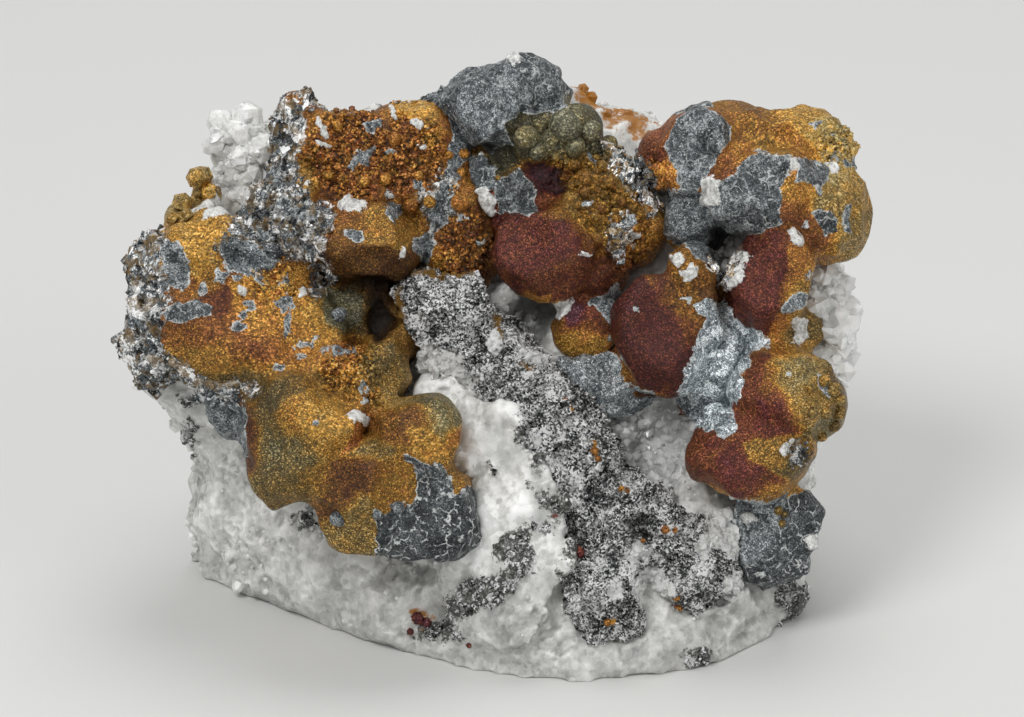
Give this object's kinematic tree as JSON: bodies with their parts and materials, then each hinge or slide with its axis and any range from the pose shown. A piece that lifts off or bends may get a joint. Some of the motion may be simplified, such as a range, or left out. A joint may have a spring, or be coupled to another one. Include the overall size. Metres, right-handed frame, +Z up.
{
  "type": "chalcopyrite specimen",
  "caption": "Hand specimen of tarnished blister chalcopyrite with grey sulphides on white vein quartz, standing on a flat break under its leaning show face.",
  "frame": {"origin": "middle of the flat break that the specimen stands on", "axes": "+Z up, -Y towards the viewer of the show face, +X to the viewer's right"},
  "size_m": [0.0748, 0.0488, 0.0544],
  "materials": {
    "quartz": "granular",
    "chalcopyrite": "tarnished",
    "grey_sulphide": "sparkling"
  },
  "bodies": {
    "root": {"quartz_matrix": "quartz", "left_chalcopyrite": "chalcopyrite", "crown_chalcopyrite": "chalcopyrite", "right_chalcopyrite": "chalcopyrite", "sulphide_vein": "grey_sulphide"}
  },
  "joints": []
}
